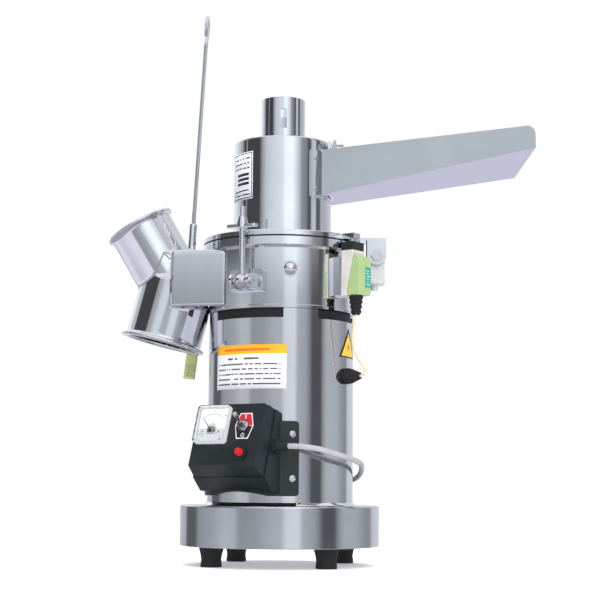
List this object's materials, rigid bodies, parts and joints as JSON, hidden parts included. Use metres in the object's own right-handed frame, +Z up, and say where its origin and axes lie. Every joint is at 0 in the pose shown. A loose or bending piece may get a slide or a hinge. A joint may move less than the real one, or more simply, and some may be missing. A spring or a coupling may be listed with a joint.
{
  "type": "hammer mill",
  "caption": "Upright electric hammer mill with a hinged feed head and flared tray, a two-way product outlet, clamped lid and a side control box.",
  "frame": {"origin": "on the floor, midway between the feed tray's far end and the outlet's far end; the mill's vertical axis stands at X -0.0454 m, Y 0", "axes": "+Z up; -Y the side with the control box; +X out along the feed tray"},
  "size_m": [0.5372, 0.2808, 0.6956],
  "materials": {
    "polished_steel": "mirror-polished stainless sheet and castings",
    "bright_fittings": "bright plated",
    "black_rubber": "matt",
    "motor_castings": "dark painted",
    "machined_steel": "machined",
    "wound_stator": "laminated core with varnished copper coil heads",
    "laminated_core": "ground laminations",
    "hardened_iron": "worn bright",
    "cream_finish": "satin",
    "green_plastic": "satin moulded",
    "black_plastic": "fine grained",
    "meter_case": "glossy, nearly clear",
    "clear_plastic": "clear moulded",
    "red_plastic": "glossy",
    "cord_jacket": "soft satin jacket"
  },
  "bodies": {
    "stand": {"base": "polished_steel", "foot_1": "black_rubber", "foot_2": "black_rubber", "foot_3": "black_rubber", "foot_4": "black_rubber", "motor_housing": "polished_steel", "lower_shield": "motor_castings", "upper_shield": "motor_castings", "lower_bearing": "machined_steel", "upper_bearing": "machined_steel", "stator": "wound_stator", "chamber": "polished_steel", "toothed_liner": "hardened_iron", "screen": "machined_steel", "outlet_duct": "polished_steel", "lid_gasket": "black_rubber", "hinge_block": "cream_finish", "hinge_bolt": "bright_fittings", "clamp_bracket_front": "polished_steel", "clamp_bracket_rear": "polished_steel", "control_cover": "black_plastic", "control_base": "black_plastic", "ammeter_case": "meter_case", "ammeter_window": "clear_plastic", "toggle_bushing": "bright_fittings", "cord_gland": "black_plastic", "power_cord": "cord_jacket", "cord_hank": "cord_jacket", "power_plug": "black_plastic", "switch_body": "cream_finish", "switch_cover": "green_plastic", "switch_head": "black_plastic", "switch_boot": "black_rubber", "switch_lead": "cream_finish", "lead_grommet": "black_rubber"},
    "rotor": {"rotor_core": "laminated_core", "motor_shaft": "machined_steel", "hammer_carrier": "machined_steel", "carrier_plate": "machined_steel", "rotor_nut": "bright_fittings"},
    "hammer_1": {"hammer_1": "hardened_iron"},
    "hammer_2": {"hammer_2": "hardened_iron"},
    "hammer_3": {"hammer_3": "hardened_iron"},
    "hammer_4": {"hammer_4": "hardened_iron"},
    "lid": {"lid_plate": "polished_steel", "feed_cylinder": "polished_steel", "air_tube": "polished_steel", "feed_tray": "polished_steel", "hinge_strap": "polished_steel"},
    "feed_gate": {"feed_gate": "polished_steel"},
    "gate_screw": {"gate_screw": "bright_fittings"},
    "swing_bolt_front": {"swing_bolt_front": "bright_fittings"},
    "wing_nut_front": {"wing_nut_front": "bright_fittings"},
    "swing_bolt_rear": {"swing_bolt_rear": "bright_fittings"},
    "wing_nut_rear": {"wing_nut_rear": "bright_fittings"},
    "bag_rod": {"bag_rod": "bright_fittings"},
    "ammeter_needle": {"ammeter_needle": "black_plastic"},
    "toggle_lever": {"toggle_lever": "bright_fittings"},
    "reset_button": {"reset_button": "red_plastic"},
    "switch_plunger": {"switch_plunger": "bright_fittings"}
  },
  "joints": [
    {"name": "rotor_spin", "type": "hinge", "parent": "stand", "child": "rotor", "pos_m": [-0.0454, 0, 0.2], "axis": [0, 0, 1], "continuous": true},
    {"name": "hammer_1_swing", "type": "hinge", "parent": "rotor", "child": "hammer_1", "pos_m": [-0.00863, 0.03677, 0.352], "axis": [0, 0, 1], "range_deg": [-80, 80]},
    {"name": "hammer_2_swing", "type": "hinge", "parent": "rotor", "child": "hammer_2", "pos_m": [-0.08217, 0.03677, 0.352], "axis": [0, 0, 1], "range_deg": [-80, 80]},
    {"name": "hammer_3_swing", "type": "hinge", "parent": "rotor", "child": "hammer_3", "pos_m": [-0.08217, -0.03677, 0.352], "axis": [0, 0, 1], "range_deg": [-80, 80]},
    {"name": "hammer_4_swing", "type": "hinge", "parent": "rotor", "child": "hammer_4", "pos_m": [-0.00863, -0.03677, 0.352], "axis": [0, 0, 1], "range_deg": [-80, 80]},
    {"name": "lid_hinge", "type": "hinge", "parent": "stand", "child": "lid", "pos_m": [0.0756, 0, 0.39], "axis": [0, 1, 0], "range_deg": [0, 95]},
    {"name": "gate_slide", "type": "slide", "parent": "lid", "child": "feed_gate", "axis": [0, 0, 1], "range_m": [0, 0.03]},
    {"name": "gate_screw_turn", "type": "hinge", "parent": "lid", "child": "gate_screw", "pos_m": [0.0246, -0.033, 0.53], "axis": [1, 0, 0], "continuous": true},
    {"name": "swing_bolt_front_pivot", "type": "hinge", "parent": "stand", "child": "swing_bolt_front", "pos_m": [-0.09276, -0.09928, 0.345], "axis": [0.9026, -0.4305, 0], "range_deg": [0, 100]},
    {"name": "wing_nut_front_turn", "type": "hinge", "parent": "swing_bolt_front", "child": "wing_nut_front", "pos_m": [-0.09276, -0.09928, 0.415], "axis": [0, 0, 1], "continuous": true},
    {"name": "swing_bolt_rear_pivot", "type": "hinge", "parent": "stand", "child": "swing_bolt_rear", "pos_m": [-0.09276, 0.09928, 0.345], "axis": [-0.9026, -0.4305, 0], "range_deg": [0, 100]},
    {"name": "wing_nut_rear_turn", "type": "hinge", "parent": "swing_bolt_rear", "child": "wing_nut_rear", "pos_m": [-0.09276, 0.09928, 0.415], "axis": [0, 0, 1], "continuous": true},
    {"name": "bag_rod_turn", "type": "hinge", "parent": "stand", "child": "bag_rod", "pos_m": [-0.1587, -0.042, 0.388], "axis": [0.0523, 0, 0.9986], "continuous": true},
    {"name": "needle_swing", "type": "hinge", "parent": "stand", "child": "ammeter_needle", "pos_m": [-0.12839, -0.08638, 0.1638], "axis": [-0.535, -0.7932, 0.2909], "range_deg": [-84, 0], "stiffness_Nm_per_rad": 0.0002},
    {"name": "toggle_throw", "type": "hinge", "parent": "stand", "child": "toggle_lever", "pos_m": [-0.08968, -0.10945, 0.17036], "axis": [0.829, -0.5592, 0], "range_deg": [0, 44]},
    {"name": "reset_press", "type": "slide", "parent": "stand", "child": "reset_button", "axis": [0.535, 0.7932, -0.2909], "range_m": [0, 0.003], "stiffness_N_per_m": 200},
    {"name": "plunger_press", "type": "slide", "parent": "stand", "child": "switch_plunger", "axis": [0, 0, -1], "range_m": [0, 0.003], "stiffness_N_per_m": 200}
  ]
}
